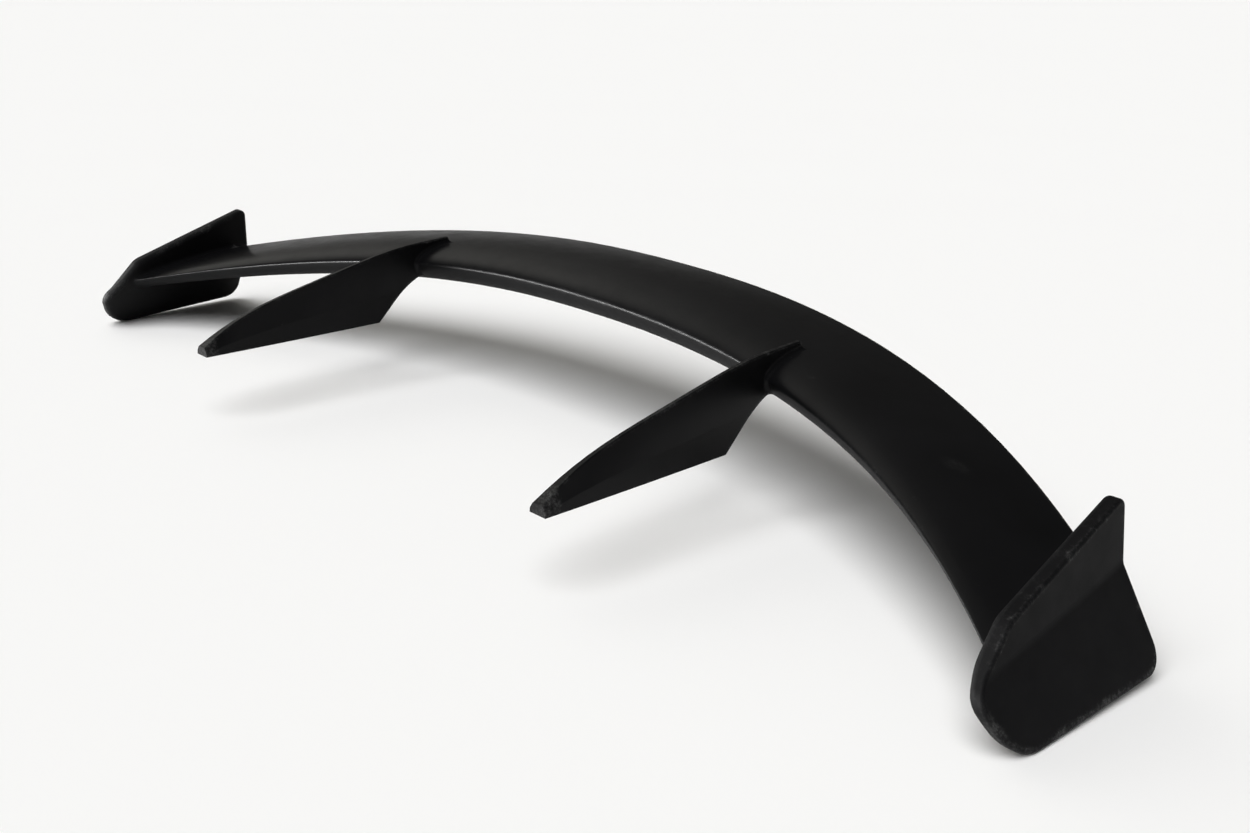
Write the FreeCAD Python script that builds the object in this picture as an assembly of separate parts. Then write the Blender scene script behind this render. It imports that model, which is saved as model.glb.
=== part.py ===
"""Rear spoiler of a hatchback: an arched, swept blade on two forward legs, closed by bent end plates.

Frame: +X across the car, +Y towards the rear, +Z up. The origin is on the plane of the feet,
midway between the two legs and midway along their feet. Lengths are millimetres.
"""
import FreeCAD
import Part
import math
import os

Vector = FreeCAD.Vector

# Legs and feet: fins with upright lower sides that lean in from a shoulder to a thin ridge
LEG_OFFSET = 237.5        # centre plane to the middle of a leg
LEG_WIDTH = 18.0          # across the foot at the tip
LEG_TAIL_WIDTH = 8.0      # the same at the rear end of the ridge
FOOT_LENGTH = 197.0       # front of the tip to the foot's rear corner
TIP_HEIGHT = 8.5          # upright front of the tip
BROW_RUN = 21.0           # tip to the brow, where the steep front ends
BROW_HEIGHT = 21.0
RIDGE_BULGE = 6.5         # how far the ridge rises over a straight line from the brow to the nose
RIDGE_OVER_NOSE = 23.5    # ridge above the nose where it passes over it
RIDGE_RUN = 45.0          # how far the ridge runs back over the blade
RIDGE_END_HEIGHT = 6.5    # what stands above the blade at the ridge's end
RIDGE_END_RUN = 7.0       # how far the end of the ridge slopes back
RIDGE_WIDTH = 5.0
RIDGE_TIP_WIDTH = 12.0    # ridge where it starts at the tip
RIDGE_NARROWING = 12      # power by which it thins behind the tip
RIDGE_BEVEL = 1.0         # off each side of the ridge
SHOULDER_SHARE = 0.4      # height of the shoulder as a share of the ridge's
SHOULDER_DRAFT = 1.5      # how much narrower a leg is there than at the foot
LEG_REAR_ANGLE = 44.0     # slope of the leg's rear edge, degrees from level
LEG_REAR_RADIUS = 90.0    # sweep of the rear edge into the blade
LEG_REAR_DEPTH = 10.0     # where that sweep levels out, below the nose
LEG_STATIONS = 9          # sections along a leg

# Threaded inserts moulded into the feet, two to a foot
INSERT_MARGIN = 43.5      # end of the foot to the middle of an insert
INSERT_RADIUS = 4.5
INSERT_LENGTH = 12.0
THREAD_RADIUS = 2.5
THREAD_DEPTH = 10.0

# Blade
HALF_SPAN = 552.0         # centre plane to the bend in an end plate's inner side
NOSE_Y = 167.7            # nose at the centre plane
NOSE_Z = 65.4
TRAIL_Y = 297.7           # trailing edge at the centre plane
TRAIL_Z = 81.2
NOSE_SWEEP = 178.6        # how far the nose runs forward from centre to end
TRAIL_SWEEP = 180.5
NOSE_DROP = 72.6          # how far the nose falls from centre to end
TRAIL_DROP = 67.9
NOSE_SWEEP_POWER = 2.58   # each sweep and drop grows with this power of the distance from the centre
TRAIL_SWEEP_POWER = 2.32
NOSE_DROP_POWER = 2.06
TRAIL_DROP_POWER = 2.24
BLADE_CROWN = 13.7        # top above the chord at the centre plane
BLADE_END_CROWN = 3.0
BLADE_BELLY = 23.9        # underside below the chord at the centre plane
BLADE_END_BELLY = 13.1
TRAIL_THICKNESS = 3.5
WING_LAW_CREST = 0.1      # greatest height the four-digit wing law gives
BLADE_STATIONS = 13       # sections along the whole span
SECTION_STEPS = 7         # points along each side of a section

# End plates, their corners set out from the nose and the trailing edge of the blade's end
PLATE_THICKNESS = 13.0    # across the bend and above it
PLATE_LOW_THICKNESS = 10.0
PLATE_FLARE = 31.5        # outward lean below the blade, degrees from upright
PLATE_LEAN = 6.0          # inward lean above the blade
PLATE_BEND_DROP = 4.0     # bend below the blade's chord
PLATE_BEND_RADIUS = 12.0  # hollow side of the bend
PLATE_BITE = 10.5         # how far the blade runs into a plate
PLATE_PEAK_BACK = 16.0    # peak behind the trailing edge
PLATE_PEAK_RISE = 48.0
PLATE_BROW_BACK = 7.0     # brow corner behind the nose
PLATE_BROW_RISE = 22.5
PLATE_TOE_AHEAD = 32.0    # foremost corner ahead of the nose
PLATE_TOE_DROP = 18.5
PLATE_CHIN_AHEAD = 15.5   # lower front corner
PLATE_CHIN_DROP = 56.0
PLATE_HEEL_BACK = 26.0    # lower rear corner behind the trailing edge
PLATE_HEEL_DROP = 69.0
PLATE_PEAK_RADIUS = 7.0
PLATE_BROW_RADIUS = 22.0
PLATE_TOE_RADIUS = 14.0
PLATE_CHIN_RADIUS = 36.0
PLATE_HEEL_RADIUS = 17.0
PLATE_INNER_RIM = 4.5     # round of the rim on the blade's side
PLATE_OUTER_RIM = 2.5

# Blends of the blade into the legs and plates
LEG_BLEND = 4.0
PLATE_BLEND = 4.0
TOUCH = 0.001             # what counts as lying on a surface

ORIGIN = Vector(0, 0, 0)
ACROSS = Vector(1, 0, 0)


def nose(x):
    share = abs(x) / HALF_SPAN
    return Vector(x, NOSE_Y - NOSE_SWEEP * share ** NOSE_SWEEP_POWER,
                  NOSE_Z - NOSE_DROP * share ** NOSE_DROP_POWER)


def trail(x):
    share = abs(x) / HALF_SPAN
    return Vector(x, TRAIL_Y - TRAIL_SWEEP * share ** TRAIL_SWEEP_POWER,
                  TRAIL_Z - TRAIL_DROP * share ** TRAIL_DROP_POWER)


def swell(along, height):
    """Height of a blunt-nosed section's side at a share of its chord, by the four-digit wing law."""
    law = (0.2969 * math.sqrt(along) - 0.1260 * along - 0.3516 * along ** 2
           + 0.2843 * along ** 3 - 0.1036 * along ** 4)
    return height * law / WING_LAW_CREST + along * TRAIL_THICKNESS / 2


def section_point(x, along, side):
    """A point of the blade's section: side is 1 on top, -1 below and 0 on the chord."""
    share = min(abs(x) / HALF_SPAN, 1.0) ** 2
    start = nose(x)
    chord = trail(x) - start
    up = Vector(0, -chord.z, chord.y).normalize()
    crown = BLADE_CROWN + (BLADE_END_CROWN - BLADE_CROWN) * share
    belly = BLADE_BELLY + (BLADE_END_BELLY - BLADE_BELLY) * share
    return start + chord * along + up * (side * swell(along, crown if side > 0 else belly))


def spline(points, parameters):
    curve = Part.BSplineCurve()
    curve.interpolate(Points=points, Parameters=parameters)
    return curve.toShape()


def blade_section(x):
    """One section, its points closer together towards the nose and evenly spaced in the curve's parameter."""
    shares = [(step / SECTION_STEPS) ** 2 for step in range(SECTION_STEPS + 1)]
    top = [section_point(x, along, 1) for along in reversed(shares)]
    below = [section_point(x, along, -1) for along in shares[1:]]
    skin = spline(top + below, list(range(2 * SECTION_STEPS + 1)))
    return Part.Wire([skin, Part.makeLine(below[-1], top[0])])


def make_blade():
    """The blade, lofted from inside one end plate to inside the other."""
    reach = HALF_SPAN + PLATE_BITE
    step = 2 * reach / (BLADE_STATIONS - 1)
    return Part.makeLoft([blade_section(i * step - reach) for i in range(BLADE_STATIONS)], True)


def ridge_points():
    """Points along the ridge in the plane x = 0, from the tip to beyond its rear end."""
    over = nose(LEG_OFFSET)
    tip = Vector(0, -FOOT_LENGTH / 2, TIP_HEIGHT)
    brow = Vector(0, tip.y + BROW_RUN, BROW_HEIGHT)
    pass_nose = Vector(0, over.y, over.z + RIDGE_OVER_NOSE)
    middle = (brow + pass_nose) * 0.5 + Vector(0, 0, RIDGE_BULGE)
    end = ridge_end()
    beyond = end + (end - pass_nose).normalize() * (2 * RIDGE_END_RUN)
    ridge = Part.BSplineCurve()
    ridge.interpolate([tip, brow, middle, pass_nose, end, beyond])
    span = (ridge.LastParameter - ridge.FirstParameter) / (LEG_STATIONS - 1)
    return [ridge.value(ridge.FirstParameter + i * span) for i in range(LEG_STATIONS)]


def ridge_end():
    """The upper corner of the ridge's rear end, over the blade."""
    run = (trail(LEG_OFFSET) - nose(LEG_OFFSET)).y
    under = section_point(LEG_OFFSET, RIDGE_RUN / run, 1)
    return Vector(0, under.y, under.z + RIDGE_END_HEIGHT)


def leg_side_outline():
    """The leg's front, foot, rear edge and ridge end seen from the side, open above the ridge."""
    front = -FOOT_LENGTH / 2 - BROW_RUN
    over = nose(LEG_OFFSET)
    chord = trail(LEG_OFFSET) - over
    end = ridge_end()
    inside = Vector(0, end.y + RIDGE_END_RUN, section_point(LEG_OFFSET, RIDGE_RUN / chord.y, 0).z)
    above = end + (end - inside)
    # The rear edge climbs from the foot, then turns on an arc into the run of the blade
    slope = math.radians(LEG_REAR_ANGLE)
    climb = Vector(0, math.cos(slope), math.sin(slope))
    run = Vector(0, chord.y, chord.z).normalize()
    heel = Vector(0, FOOT_LENGTH / 2, 0)
    apart = Vector(0, over.y, over.z - LEG_REAR_DEPTH) - heel
    corner = heel + climb * (apart.cross(run).x / climb.cross(run).x)
    sweep = corner_arc(corner, climb * -1, run, LEG_REAR_RADIUS)
    return Part.Wire([
        Part.makeLine(Vector(0, front, 0), Vector(0, front, above.z)),
        Part.makeLine(Vector(0, front, above.z), above),
        Part.makeLine(above, inside),
        Part.makeLine(inside, sweep.EndPoint),
        sweep.toShape(),
        Part.makeLine(sweep.StartPoint, heel),
        Part.makeLine(heel, Vector(0, front, 0)),
    ])


def fin_levels(points):
    """The four long edges of the fin's right side: below the foot, shoulder, and both edges of the bevel."""
    front = points[0].y
    length = points[-1].y - front
    low, shoulder, bevel, ridge = [], [], [], []
    for point in points:
        share = (point.y - front) / length
        foot = LEG_WIDTH + (LEG_TAIL_WIDTH - LEG_WIDTH) * share ** 2
        top = RIDGE_WIDTH + (RIDGE_TIP_WIDTH - RIDGE_WIDTH) * (1 - share) ** RIDGE_NARROWING
        low.append(Vector(foot / 2, point.y, -TIP_HEIGHT))
        shoulder.append(Vector((foot - SHOULDER_DRAFT) / 2, point.y, point.z * SHOULDER_SHARE))
        bevel.append(Vector(top / 2, point.y, point.z - RIDGE_BEVEL))
        ridge.append(Vector(top / 2 - RIDGE_BEVEL, point.y, point.z))
    return [low, shoulder, bevel, ridge]


def make_fin():
    """The leg before it is trimmed: eight long sides between a front and a rear end."""
    points = ridge_points()
    steps = [point.y for point in points]
    right = fin_levels(points)
    left = [[Vector(-point.x, point.y, point.z) for point in level] for level in reversed(right)]
    ring = right + left
    edges = [spline(level, steps) for level in ring]
    faces = [Part.makeRuledSurface(edges[i - 1], edges[i]) for i in range(len(edges))]
    for end in (0, -1):
        corners = [level[end] for level in ring]
        faces.append(Part.Face(Part.makePolygon(corners + corners[:1])))
    return Part.makeSolid(Part.makeShell(faces))


def make_leg():
    """The right-hand leg: the fin cut off along the foot, the rear edge and the ridge's end."""
    trim = Part.Face(leg_side_outline()).extrude(ACROSS * (2 * LEG_WIDTH))
    trim.translate(ACROSS * -LEG_WIDTH)
    leg = make_fin().common(trim)
    leg.translate(ACROSS * LEG_OFFSET)
    return leg


def corner_arc(corner, back, on, radius):
    """The arc that rounds a corner, from its side towards back to its side towards on."""
    half = back.getAngle(on) / 2
    cut = radius / math.tan(half)
    middle = corner + (back + on).normalize() * (radius / math.sin(half) - radius)
    return Part.Arc(corner + back * cut, middle, corner + on * cut)


def rounded_outline(corners):
    """A closed wire round corners, each a point and the radius of its round."""
    arcs = []
    for i, (corner, radius) in enumerate(corners):
        back = (corners[i - 1][0] - corner).normalize()
        on = (corners[(i + 1) % len(corners)][0] - corner).normalize()
        arcs.append(corner_arc(corner, back, on, radius))
    edges = []
    for i, arc in enumerate(arcs):
        edges.append(Part.makeLine(arcs[i - 1].EndPoint, arc.StartPoint))
        edges.append(arc.toShape())
    return Part.Wire(edges)


def plate_section(bend, up, reach):
    """The plate's bent section across the blade's end: two limbs, rounded where they meet."""
    flare = math.radians(PLATE_FLARE)
    lean = math.radians(PLATE_LEAN)
    down = ACROSS * math.sin(flare) - up * math.cos(flare)
    rise = up * math.cos(lean) - ACROSS * math.sin(lean)
    taper = ACROSS * (PLATE_LOW_THICKNESS - PLATE_THICKNESS)
    down_out = (down * (PLATE_HEEL_DROP / math.cos(flare)) + taper).normalize()
    outer = bend + ACROSS * PLATE_THICKNESS
    round_in = corner_arc(bend, rise, down, PLATE_BEND_RADIUS + PLATE_THICKNESS)
    hollow = corner_arc(outer, down_out, rise, PLATE_BEND_RADIUS)
    top_in = bend + rise * reach
    top_out = outer + rise * reach
    low_in = bend + down * reach
    low_out = outer + down_out * reach
    return Part.Wire([
        Part.makeLine(top_in, round_in.StartPoint),
        round_in.toShape(),
        Part.makeLine(round_in.EndPoint, low_in),
        Part.makeLine(low_in, low_out),
        Part.makeLine(low_out, hollow.StartPoint),
        hollow.toShape(),
        Part.makeLine(hollow.EndPoint, top_out),
        Part.makeLine(top_out, top_in),
    ])


def rim_edges(plate, side):
    """The edges between the plate's outline and its broad side that faces outwards (1) or the blade (-1)."""
    outline = []
    broad = []
    for face in plate.Faces:
        low, high, first, last = face.ParameterRange
        facing = face.normalAt((low + high) / 2, (first + last) / 2).x * side
        if abs(facing) < TOUCH:
            outline += face.Edges
        elif facing > 0:
            broad += face.Edges
    return [edge for edge in broad if any(other.isSame(edge) for other in outline)]


def make_plate():
    """The right-hand end plate: a bent bar along the blade's end, cut to its side outline."""
    end_nose = nose(HALF_SPAN)
    end_trail = trail(HALF_SPAN)
    along = (end_trail - end_nose).normalize()
    up = Vector(0, -along.z, along.y)
    reach = end_trail.y - end_nose.y + PLATE_TOE_AHEAD + PLATE_HEEL_BACK
    bend = end_nose - up * PLATE_BEND_DROP
    bar = Part.Face(plate_section(bend, up, reach)).extrude(along * (2 * reach))
    bar.translate(along * -reach)

    def corner(end, back, rise):
        return Vector(HALF_SPAN - reach, end.y + back, end.z + rise)

    outline = rounded_outline([
        (corner(end_trail, PLATE_PEAK_BACK, PLATE_PEAK_RISE), PLATE_PEAK_RADIUS),
        (corner(end_nose, PLATE_BROW_BACK, PLATE_BROW_RISE), PLATE_BROW_RADIUS),
        (corner(end_nose, -PLATE_TOE_AHEAD, -PLATE_TOE_DROP), PLATE_TOE_RADIUS),
        (corner(end_nose, -PLATE_CHIN_AHEAD, -PLATE_CHIN_DROP), PLATE_CHIN_RADIUS),
        (corner(end_trail, PLATE_HEEL_BACK, -PLATE_HEEL_DROP), PLATE_HEEL_RADIUS),
    ])
    plate = bar.common(Part.Face(outline).extrude(ACROSS * (2 * reach)))
    for side, radius in ((-1, PLATE_INNER_RIM), (1, PLATE_OUTER_RIM)):
        plate = plate.makeFillet(radius, rim_edges(plate, side))
    return plate


def insert_places():
    for side in (-1, 1):
        for end in (-1, 1):
            yield Vector(side * LEG_OFFSET, end * (FOOT_LENGTH / 2 - INSERT_MARGIN), 0)


def make_inserts():
    bore = Part.makeCylinder(THREAD_RADIUS, THREAD_DEPTH)
    insert = Part.makeCylinder(INSERT_RADIUS, INSERT_LENGTH).cut(bore)
    return Part.makeCompound([insert.translated(place) for place in insert_places()])


def seams(body, blade, member, shortest):
    """The edges of the fused body where the blade meets a member, leaving out short ones."""
    found = []
    for edge in body.Edges:
        if edge.Length < shortest:
            continue
        point = Part.Vertex(edge.valueAt((edge.FirstParameter + edge.LastParameter) / 2))
        if all(min(face.distToShape(point)[0] for face in solid.Faces) < TOUCH for solid in (blade, member)):
            found.append(edge)
    return found


def make_body():
    """The whole moulding, blended where its members meet, with pockets for the inserts."""
    blade = make_blade()
    legs = [make_leg()]
    plates = [make_plate()]
    for group in (legs, plates):
        group.append(group[0].mirror(ORIGIN, ACROSS))
    body = blade.fuse(legs + plates)
    for members, radius, shortest in ((legs, LEG_BLEND, 0), (plates, PLATE_BLEND, 2 * TRAIL_THICKNESS)):
        for member in members:
            body = body.makeFillet(radius, seams(body, blade, member, shortest))
    for place in insert_places():
        body = body.cut(Part.makeCylinder(INSERT_RADIUS, INSERT_LENGTH, place))
    return body.Solids[0]


def main():
    os.makedirs("parts", exist_ok=True)
    make_body().exportStep("parts/spoiler_body.step")
    make_inserts().exportStep("parts/foot_inserts.step")


main()
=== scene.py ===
"""The rear spoiler dressed for the photograph: satin black moulding, brass foot inserts, studio, camera."""
import math

import bpy
from mathutils import Matrix, Vector


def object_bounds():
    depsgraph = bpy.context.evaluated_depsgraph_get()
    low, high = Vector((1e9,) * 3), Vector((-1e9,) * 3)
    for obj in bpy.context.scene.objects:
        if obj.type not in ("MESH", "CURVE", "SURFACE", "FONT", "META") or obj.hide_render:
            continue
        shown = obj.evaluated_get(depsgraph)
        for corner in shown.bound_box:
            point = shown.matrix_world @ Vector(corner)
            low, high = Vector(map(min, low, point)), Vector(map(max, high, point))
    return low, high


# Camera, read from the photograph: metres and degrees in the part's frame
CAMERA_PLACE = Vector((0.9114, -0.7066, 0.4044))
CAMERA_AZIMUTH = 44.19
CAMERA_ELEVATION = 19.81
CAMERA_ROLL = 2.66
CAMERA_NEAR = 0.05
FOCAL_PIXELS = 1383.0
PHOTO_WIDTH = 1250.0
SENSOR_WIDTH = 36.0

# Studio: the sun gives the plain light and the shadow, the panels are seen only in the gloss
FLOOR_SIZE = 120.0
FLOOR_COLOUR = (0.93, 0.93, 0.93, 1.0)
FLOOR_ROUGHNESS = 0.9
SUN_STRENGTH = 2.95
SUN_ANGLE = 55.0
SUN_FROM = Vector((0.30, -2.10, 3.45))
NOSE_LIGHT_PLACE = Vector((-1.3, -1.2, 0.02))
NOSE_LIGHT_SIZE = (3.0, 0.16)
NOSE_LIGHT_POWER = 105.0
FRONT_LIGHT_PLACE = Vector((-0.75, -1.80, 0.02))
FRONT_LIGHT_SIZE = (1.2, 0.16)
FRONT_LIGHT_POWER = 80.0
SIDE_LIGHT_PLACE = Vector((3.6, 1.5, 0.73))
SIDE_LIGHT_SIZE = (1.2, 0.8)
SIDE_LIGHT_POWER = 4.0
SKY_BRIGHT_SIDE = Vector((-0.766, 0.027, 0.643))
SKY_STOPS = ((0.55, 0.07), (0.75, 0.12), (0.88, 0.38), (0.965, 0.90), (1.0, 1.55))
SKY_TINT = (1.0, 0.98, 0.92)
BACKDROP_COLOUR = (0.80, 0.80, 0.80, 1.0)
BACKDROP_TOP = 0.035
BACKDROP_FADE = 0.02

# Moulding: places and sizes in metres
PLATE_FROM = 0.550
PLATE_FADE = 0.01
TIP_FROM = 0.075
TIP_FADE = 0.015
INSERT_TOP = 0.014
INSERT_FADE = 0.004
EDGE_REACH = 0.004
PLATE_EDGE_REACH = 0.008
SMUDGE_PLACE = (0.430, 0.137, 0.040)
SMUDGE_SIZE = (0.026, 0.014, 0.014)
SCUFF_PLACE = (0.276, 0.160, 0.062)
SCUFF_SIZE = (0.009, 0.004, 0.008)

# Moulding: colours and gloss, each pair spread over a noise
SKIN_TINT = (1.0, 1.0, 1.12)
SKIN_LEVELS = (0.0030, 0.0050)
# Pale speckled colour: scuffed wear and smudges, also used as painted highlight on rims, ridges and tips
BARE_AND_HIGHLIGHT_LEVELS = (0.012, 0.070)
SATIN_ROUGHNESS = (0.28, 0.36)
PLATE_ROUGHNESS = (0.62, 0.70)
UNDERSIDE_ROUGHNESS = (0.46, 0.54)
SPECULAR_LEVEL = 0.10
GRAIN_STRENGTH = 0.06
GRAIN_HEIGHT = 0.0004

# Moulding: noise scales per metre, and the part of each noise that its pair is spread over
BLOTCH_SCALE = 9.0
BLOTCH_RANGE = (0.30, 0.70)
MARK_SCALE = 38.0
MARK_RANGE = (0.35, 0.72)
SPECKLE_SCALE = 420.0
SPECKLE_RANGE = (0.35, 0.70)
PATCH_SCALE = 45.0
STREAK_SCALE = 130.0
GRAIN_SCALE = 900.0

# Moulding: where masks start, how far they take to rise, and how high
# Pale mask along rims, ridges and tips: partly wear, partly painted highlight on those edges
WEAR_AND_HIGHLIGHT_START, WEAR_AND_HIGHLIGHT_WIDTH = 0.50, 0.16
TIP_WEAR_AND_HIGHLIGHT = 0.40
SPECKLE_SHARE = 0.5
SMEAR_START, SMEAR_WIDTH = 0.25, 0.40
SMEAR_STRENGTH = 0.16
SPOT_CORE = 0.2
UNDERSIDE_START, UNDERSIDE_WIDTH = 0.05, 0.30
THICKNESS_SAMPLES = 8

# Foot inserts
STAIN_SCALE = 240.0
STAIN_RANGE = (0.3, 0.7)
BRASS_COLOURS = ((0.42, 0.28, 0.10, 1.0), (0.62, 0.45, 0.19, 1.0))
BRASS_ROUGHNESS = (0.42, 0.28)


def grey(value):
    return (value, value, value, 1.0)


def greys(values):
    return [grey(value) for value in values]


def tinted(value, tint):
    return (*(value * share for share in tint), 1.0)


def node_tree(material):
    """A fresh material's nodes and links, with its Principled shader."""
    material.use_nodes = True
    nodes = material.node_tree.nodes
    return nodes, material.node_tree.links, nodes["Principled BSDF"]


def noise(nodes, links, coordinates, scale, detail=4.0, roughness=0.55):
    texture = nodes.new("ShaderNodeTexNoise")
    texture.inputs["Scale"].default_value = scale
    texture.inputs["Detail"].default_value = detail
    texture.inputs["Roughness"].default_value = roughness
    links.new(coordinates, texture.inputs["Vector"])
    return texture.outputs["Fac"]


def ramp(nodes, links, factor, positions, colours):
    """A colour ramp over factor, with a colour for each position."""
    node = nodes.new("ShaderNodeValToRGB")
    links.new(factor, node.inputs["Fac"])
    elements = node.color_ramp.elements
    while len(elements) < len(positions):
        elements.new(0.5)
    for element, position, colour in zip(elements, positions, colours):
        element.position = position
        element.color = colour
    return node.outputs["Color"]


def rise(nodes, links, factor, start, width, top=1.0):
    """0 up to start, rising to top over width."""
    return ramp(nodes, links, factor, (start, start + width), greys((0.0, top)))


def combine(nodes, links, operation, first, second):
    """One Math node over two sockets, or a socket and a number."""
    node = nodes.new("ShaderNodeMath")
    node.operation = operation
    for socket, value in zip(node.inputs, (first, second)):
        if isinstance(value, float):
            socket.default_value = value
        else:
            links.new(value, socket)
    return node.outputs["Value"]


def mix(nodes, links, factor, first, second):
    """A mix by factor from one colour socket to another; only their numbers tell the node's sockets apart."""
    node = nodes.new("ShaderNodeMix")
    node.data_type = "RGBA"
    links.new(factor, node.inputs[0])
    links.new(first, node.inputs[6])
    links.new(second, node.inputs[7])
    return node.outputs[2]


def edge_share(nodes, links, reach):
    """0 where the moulding is thicker than reach, rising towards its rims, tips and ridges."""
    thickness = nodes.new("ShaderNodeAmbientOcclusion")
    thickness.inside = True
    thickness.only_local = True
    thickness.samples = THICKNESS_SAMPLES
    thickness.inputs["Distance"].default_value = reach
    return combine(nodes, links, "SUBTRACT", 1.0, thickness.outputs["AO"])


def spot(nodes, links, place, centre, size):
    """1 at centre, fading to 0 at the surface of an ellipsoid of the given half sizes."""
    moved = nodes.new("ShaderNodeVectorMath")
    moved.operation = "SUBTRACT"
    links.new(place, moved.inputs[0])
    moved.inputs[1].default_value = centre
    scaled = nodes.new("ShaderNodeVectorMath")
    scaled.operation = "DIVIDE"
    links.new(moved.outputs["Vector"], scaled.inputs[0])
    scaled.inputs[1].default_value = size
    length = nodes.new("ShaderNodeVectorMath")
    length.operation = "LENGTH"
    links.new(scaled.outputs["Vector"], length.inputs[0])
    return ramp(nodes, links, length.outputs["Value"], (SPOT_CORE, 1.0), greys((1.0, 0.0)))


def smears(nodes, links, place):
    """The pale smudge and the small scuff on the near half of the blade, broken up by streaks."""
    streaks = noise(nodes, links, place, STREAK_SCALE, detail=5.0, roughness=0.7)
    smudge = spot(nodes, links, place, SMUDGE_PLACE, SMUDGE_SIZE)
    scuff = spot(nodes, links, place, SCUFF_PLACE, SCUFF_SIZE)
    marks = combine(nodes, links, "MULTIPLY", combine(nodes, links, "MAXIMUM", smudge, scuff), streaks)
    return rise(nodes, links, marks, SMEAR_START, SMEAR_WIDTH, SMEAR_STRENGTH)


def wear_and_highlight(nodes, links, place, split, on_plate, speckle):
    """Where the skin is painted pale, as scuffed wear and as painted highlight: in broken patches along the
    rims, widest on the plates, and on the tips.
    """
    patches = noise(nodes, links, place, PATCH_SCALE, detail=5.0, roughness=0.65)
    on_rim = combine(nodes, links, "MULTIPLY", edge_share(nodes, links, PLATE_EDGE_REACH), on_plate)
    above_inserts = rise(nodes, links, split.outputs["Z"], INSERT_TOP, INSERT_FADE)
    on_ridge = combine(nodes, links, "MULTIPLY", edge_share(nodes, links, EDGE_REACH), above_inserts)
    edges = combine(nodes, links, "MAXIMUM", on_ridge, on_rim)
    forward = combine(nodes, links, "MULTIPLY", split.outputs["Y"], -1.0)
    # The leg tips are painted paler: partly wear, partly painted highlight.
    tips = rise(nodes, links, forward, TIP_FROM, TIP_FADE, TIP_WEAR_AND_HIGHLIGHT)
    reach = combine(nodes, links, "MAXIMUM", edges, tips)
    ragged = combine(nodes, links, "ADD", patches, combine(nodes, links, "MULTIPLY", speckle, SPECKLE_SHARE))
    level = combine(nodes, links, "MULTIPLY", combine(nodes, links, "ADD", reach, ragged), 0.5)
    return rise(nodes, links, level, WEAR_AND_HIGHLIGHT_START, WEAR_AND_HIGHLIGHT_WIDTH)


def skin_colour(nodes, links, place, split, on_plate):
    """Blotched black, painted pale along the rims and tips as wear and painted highlight, and smeared in two
    places.
    """
    blotch = noise(nodes, links, place, BLOTCH_SCALE)
    skin = ramp(nodes, links, blotch, BLOTCH_RANGE, [tinted(level, SKIN_TINT) for level in SKIN_LEVELS])
    speckle = noise(nodes, links, place, SPECKLE_SCALE, detail=3.0, roughness=0.7)
    bare_and_highlight = ramp(nodes, links, speckle, SPECKLE_RANGE, greys(BARE_AND_HIGHLIGHT_LEVELS))
    # Pale patches on rims, ridges and tips: wear and painted highlight.
    worn_and_highlit = mix(nodes, links, wear_and_highlight(nodes, links, place, split, on_plate, speckle), skin, bare_and_highlight)
    return mix(nodes, links, smears(nodes, links, place), worn_and_highlit, bare_and_highlight)


def skin_roughness(nodes, links, place, on_plate):
    """Satin on top, dull on the end plates and the underside, uneven from handling."""
    facing = nodes.new("ShaderNodeSeparateXYZ")
    links.new(nodes.new("ShaderNodeNewGeometry").outputs["Normal"], facing.inputs["Vector"])
    downward = combine(nodes, links, "MULTIPLY", facing.outputs["Z"], -1.0)
    underside = rise(nodes, links, downward, UNDERSIDE_START, UNDERSIDE_WIDTH)
    marks = noise(nodes, links, place, MARK_SCALE, detail=7.0, roughness=0.65)
    satin, plate, below = (ramp(nodes, links, marks, MARK_RANGE, greys(pair))
                           for pair in (SATIN_ROUGHNESS, PLATE_ROUGHNESS, UNDERSIDE_ROUGHNESS))
    return mix(nodes, links, underside, mix(nodes, links, on_plate, satin, plate), below)


def satin_black():
    """Moulded black plastic: satin top, dull end plates and underside, fine grain, rims and tips painted pale as
    wear and painted highlight.
    """
    material = bpy.data.materials.new("satin_black")
    nodes, links, shader = node_tree(material)
    place = nodes.new("ShaderNodeTexCoord").outputs["Object"]
    split = nodes.new("ShaderNodeSeparateXYZ")
    links.new(place, split.inputs["Vector"])
    across = combine(nodes, links, "ABSOLUTE", split.outputs["X"], 0.0)
    on_plate = rise(nodes, links, across, PLATE_FROM - PLATE_FADE, PLATE_FADE)
    links.new(skin_colour(nodes, links, place, split, on_plate), shader.inputs["Base Color"])
    links.new(skin_roughness(nodes, links, place, on_plate), shader.inputs["Roughness"])
    shader.inputs["Specular IOR Level"].default_value = SPECULAR_LEVEL
    grain = nodes.new("ShaderNodeBump")
    grain.inputs["Strength"].default_value = GRAIN_STRENGTH
    grain.inputs["Distance"].default_value = GRAIN_HEIGHT
    links.new(noise(nodes, links, place, GRAIN_SCALE, detail=2.0), grain.inputs["Height"])
    links.new(grain.outputs["Normal"], shader.inputs["Normal"])
    return material


def insert_brass():
    """Dull turned brass, its colour and gloss uneven from handling."""
    material = bpy.data.materials.new("insert_brass")
    nodes, links, shader = node_tree(material)
    place = nodes.new("ShaderNodeTexCoord").outputs["Object"]
    stain = noise(nodes, links, place, STAIN_SCALE)
    links.new(ramp(nodes, links, stain, STAIN_RANGE, BRASS_COLOURS), shader.inputs["Base Color"])
    links.new(ramp(nodes, links, stain, STAIN_RANGE, greys(BRASS_ROUGHNESS)), shader.inputs["Roughness"])
    shader.inputs["Metallic"].default_value = 1.0
    return material


def finish_node(node, material):
    node.data.materials.clear()
    node.data.materials.append(material)


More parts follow.
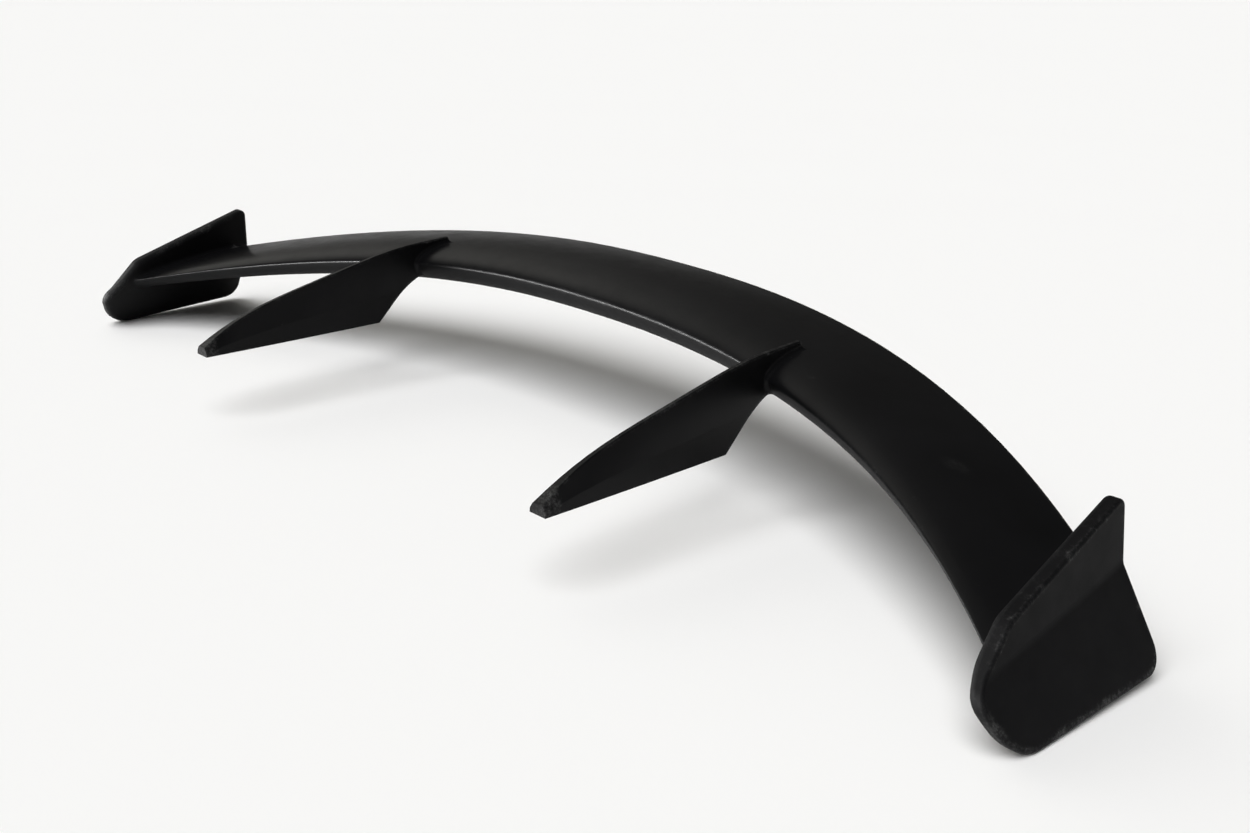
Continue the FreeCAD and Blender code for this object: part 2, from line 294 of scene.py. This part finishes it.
def add_floor(level):
    half = FLOOR_SIZE / 2
    corners = [(-half, -half, level), (half, -half, level), (half, half, level), (-half, half, level)]
    mesh = bpy.data.meshes.new("floor")
    mesh.from_pydata(corners, [], [(0, 1, 2, 3)])
    floor = bpy.data.objects.new("floor", mesh)
    bpy.context.scene.collection.objects.link(floor)
    material = bpy.data.materials.new("floor_white")
    shader = node_tree(material)[2]
    shader.inputs["Base Color"].default_value = FLOOR_COLOUR
    shader.inputs["Roughness"].default_value = FLOOR_ROUGHNESS
    shader.inputs["Specular IOR Level"].default_value = 0.0
    mesh.materials.append(material)


def add_lamp(name, kind, place, target):
    lamp = bpy.data.lights.new(name, kind)
    holder = bpy.data.objects.new(name, lamp)
    bpy.context.scene.collection.objects.link(holder)
    holder.location = place
    holder.rotation_euler = (target - place).to_track_quat("-Z", "Y").to_euler()
    holder.visible_camera = False
    return holder


def add_panel(name, place, size, power, target):
    """A panel that is only seen mirrored in the gloss, so that it leaves no shadow on the floor."""
    holder = add_lamp(name, "AREA", place, target)
    holder.visible_diffuse = False
    holder.data.shape = "RECTANGLE"
    holder.data.size, holder.data.size_y = size
    holder.data.energy = power


def add_world():
    """A dark room with a pale band at the horizon and one soft bright side."""
    world = bpy.data.worlds.new("studio")
    bpy.context.scene.world = world
    world.use_nodes = True
    nodes, links = world.node_tree.nodes, world.node_tree.links
    direction = nodes.new("ShaderNodeTexCoord").outputs["Generated"]
    towards = nodes.new("ShaderNodeVectorMath")
    towards.operation = "DOT_PRODUCT"
    towards.inputs[1].default_value = SKY_BRIGHT_SIDE.normalized()
    links.new(direction, towards.inputs[0])
    positions, levels = zip(*SKY_STOPS)
    sky = ramp(nodes, links, towards.outputs["Value"], positions, [tinted(level, SKY_TINT) for level in levels])
    split = nodes.new("ShaderNodeSeparateXYZ")
    links.new(direction, split.inputs["Vector"])
    backdrop = nodes.new("ShaderNodeRGB").outputs["Color"]
    backdrop.default_value = BACKDROP_COLOUR
    above = rise(nodes, links, split.outputs["Z"], BACKDROP_TOP, BACKDROP_FADE)
    links.new(mix(nodes, links, above, backdrop, sky), nodes["Background"].inputs["Color"])


def add_studio(centre):
    sun = add_lamp("sun", "SUN", centre + SUN_FROM, centre)
    sun.visible_glossy = False
    sun.data.energy = SUN_STRENGTH
    sun.data.angle = math.radians(SUN_ANGLE)
    add_panel("nose_light", NOSE_LIGHT_PLACE, NOSE_LIGHT_SIZE, NOSE_LIGHT_POWER, centre)
    add_panel("front_light", FRONT_LIGHT_PLACE, FRONT_LIGHT_SIZE, FRONT_LIGHT_POWER, centre)
    add_panel("side_light", SIDE_LIGHT_PLACE, SIDE_LIGHT_SIZE, SIDE_LIGHT_POWER, centre)
    add_world()


def add_camera():
    azimuth = math.radians(CAMERA_AZIMUTH)
    elevation = math.radians(CAMERA_ELEVATION)
    back = Vector((math.sin(azimuth) * math.cos(elevation), -math.cos(azimuth) * math.cos(elevation),
                   math.sin(elevation)))
    right = Vector((math.cos(azimuth), math.sin(azimuth), 0))
    turn = Matrix((right, back.cross(right), back)).transposed().to_4x4()
    lens = bpy.data.cameras.new("camera")
    lens.sensor_fit = "HORIZONTAL"
    lens.sensor_width = SENSOR_WIDTH
    lens.lens = FOCAL_PIXELS / PHOTO_WIDTH * SENSOR_WIDTH
    lens.clip_start = CAMERA_NEAR
    lens.clip_end = 4 * FLOOR_SIZE
    camera = bpy.data.objects.new("camera", lens)
    bpy.context.scene.collection.objects.link(camera)
    camera.matrix_world = (Matrix.Translation(CAMERA_PLACE) @ turn
                           @ Matrix.Rotation(math.radians(CAMERA_ROLL), 4, "Z"))
    bpy.context.scene.camera = camera


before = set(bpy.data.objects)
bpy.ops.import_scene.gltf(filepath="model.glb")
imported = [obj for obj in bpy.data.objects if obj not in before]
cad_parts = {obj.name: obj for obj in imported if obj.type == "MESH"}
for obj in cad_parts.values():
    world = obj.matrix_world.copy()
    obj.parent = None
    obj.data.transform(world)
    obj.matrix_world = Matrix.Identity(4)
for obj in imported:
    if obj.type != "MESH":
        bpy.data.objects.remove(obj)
cad_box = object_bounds()
finish_node(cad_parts["spoiler_body"], satin_black())
finish_node(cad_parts["foot_inserts"], insert_brass())
add_floor(cad_box[0].z)
add_studio((cad_box[0] + cad_box[1]) / 2)
add_camera()
bpy.context.scene.view_settings.view_transform = "Standard"
